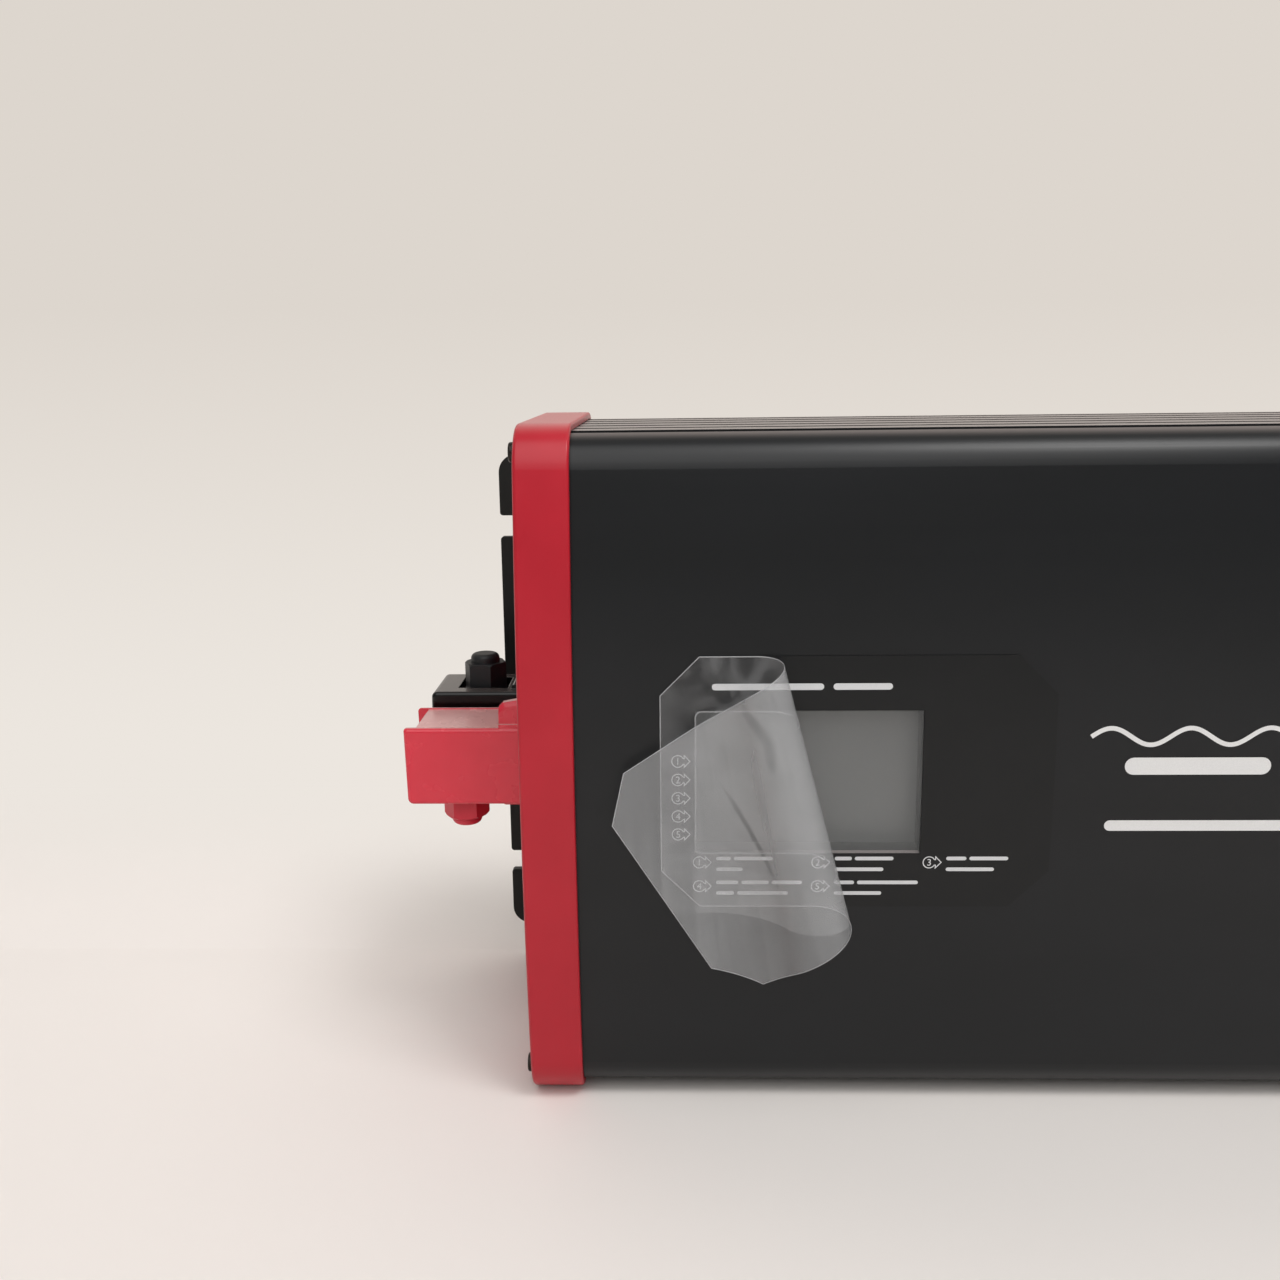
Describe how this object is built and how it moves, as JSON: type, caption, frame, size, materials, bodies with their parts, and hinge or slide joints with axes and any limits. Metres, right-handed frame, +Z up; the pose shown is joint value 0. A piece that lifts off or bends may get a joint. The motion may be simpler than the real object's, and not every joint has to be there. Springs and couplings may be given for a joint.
{
  "type": "power inverter",
  "caption": "Box-shaped mains inverter with a ribbed shell, moulded end caps, mounting ears, covered battery terminals, cooling fans, display window, rocker switch and outlets.",
  "frame": {"origin": "centre of the bounding box's underside, on the surface that the end caps stand on", "axes": "+X along the case from the battery terminals to the mains outlets, +Y from the arched front to the base plate, +Z up as the unit stands"},
  "size_m": [0.4424, 0.1386, 0.22],
  "materials": {
    "case_black": "satin black anodised, finely drawn along its length",
    "plate_black": "satin black",
    "cap_red": "moulded, soft sheen",
    "terminal_red": "moulded, glossy",
    "terminal_black": "moulded, glossy",
    "zinc_steel": "zinc plated",
    "wire_steel": "bright plated wire",
    "fan_black": "fine matt",
    "copper": "plain copper, satin",
    "tin_copper": "tinned copper",
    "brass": "plain brass",
    "bronze": "sintered bronze",
    "label_print": "dark grey overlay film",
    "window_clear": "clear, glossy",
    "film_clear": "thin clear protective film",
    "panel_grey": "dark liquid crystal panel",
    "dark_plastic": "black",
    "board_green": "circuit board with solder mask",
    "socket_black": "moulded, satin",
    "rocker_red": "moulded, glossy",
    "lens_green": "tinted lens",
    "lens_red": "tinted lens",
    "ferrite": "sintered ferrite",
    "winding_tape": "taped winding",
    "winding_copper": "enamelled copper wire",
    "can_sleeve": "sleeved aluminium can",
    "plain_aluminium": "extruded",
    "package_black": "moulded package",
    "spring_steel": "spring steel strip",
    "fuse_body": "tinted plastic with plated blades",
    "wire_jacket": "insulated wire",
    "lead_jacket": "insulated wire",
    "ribbon_grey": "flat cable"
  },
  "bodies": {
    "inverter": {"case_shell": "case_black", "base_plate": "plate_black", "base_plate_screws": "zinc_steel", "dc_end_cap": "cap_red", "ac_end_cap": "cap_red", "end_cap_screws": "zinc_steel", "end_cap_washers": "zinc_steel", "positive_terminal_housing": "terminal_red", "negative_terminal_housing": "terminal_black", "positive_bus_bar": "copper", "negative_bus_bar": "copper", "terminal_studs": "zinc_steel", "terminal_washers": "zinc_steel", "positive_cap_nut": "terminal_red", "negative_cap_nut": "terminal_black", "upper_fan_frame": "fan_black", "lower_fan_frame": "fan_black", "fan_bearings": "bronze", "upper_finger_guard": "wire_steel", "lower_finger_guard": "wire_steel", "fan_screws": "zinc_steel", "fan_leads": "lead_jacket", "display_label": "label_print", "display_window": "window_clear", "protective_film": "film_clear", "display_frame": "dark_plastic", "display_panel": "panel_grey", "display_board": "board_green", "display_posts": "zinc_steel", "ribbon_cable": "ribbon_grey", "upper_ac_socket": "socket_black", "lower_ac_socket": "socket_black", "brass_contacts": "brass", "switch_housing": "dark_plastic", "usb_shell": "tin_copper", "usb_tongue": "dark_plastic", "remote_jack": "dark_plastic", "power_light": "lens_green", "fault_light": "lens_red", "earth_stud": "brass", "earth_nuts": "brass", "main_board": "board_green", "board_standoffs": "zinc_steel", "board_screws": "zinc_steel", "transformer_cores": "ferrite", "transformer_windings": "winding_tape", "input_capacitors": "can_sleeve", "bus_capacitors": "can_sleeve", "choke_cores": "ferrite", "choke_windings": "winding_copper", "heat_sinks": "plain_aluminium", "power_transistors": "package_black", "transistor_clamps": "spring_steel", "input_fuses": "fuse_body", "control_board": "board_green", "ac_wires": "wire_jacket"},
    "upper_fan": {"upper_fan_rotor": "fan_black"},
    "lower_fan": {"lower_fan_rotor": "fan_black"},
    "rocker": {"switch_rocker": "rocker_red"}
  },
  "joints": [
    {"name": "upper_fan_spin", "type": "hinge", "parent": "inverter", "child": "upper_fan", "pos_m": [-0.16225, 0.0119, 0.168], "axis": [1, 0, 0], "continuous": true},
    {"name": "lower_fan_spin", "type": "hinge", "parent": "inverter", "child": "lower_fan", "pos_m": [-0.16225, 0.0119, 0.052], "axis": [1, 0, 0], "continuous": true},
    {"name": "rocker_tilt", "type": "hinge", "parent": "inverter", "child": "rocker", "pos_m": [0.20125, 0.0119, 0.19], "axis": [0, 0, -1], "range_deg": [0, 18]}
  ]
}
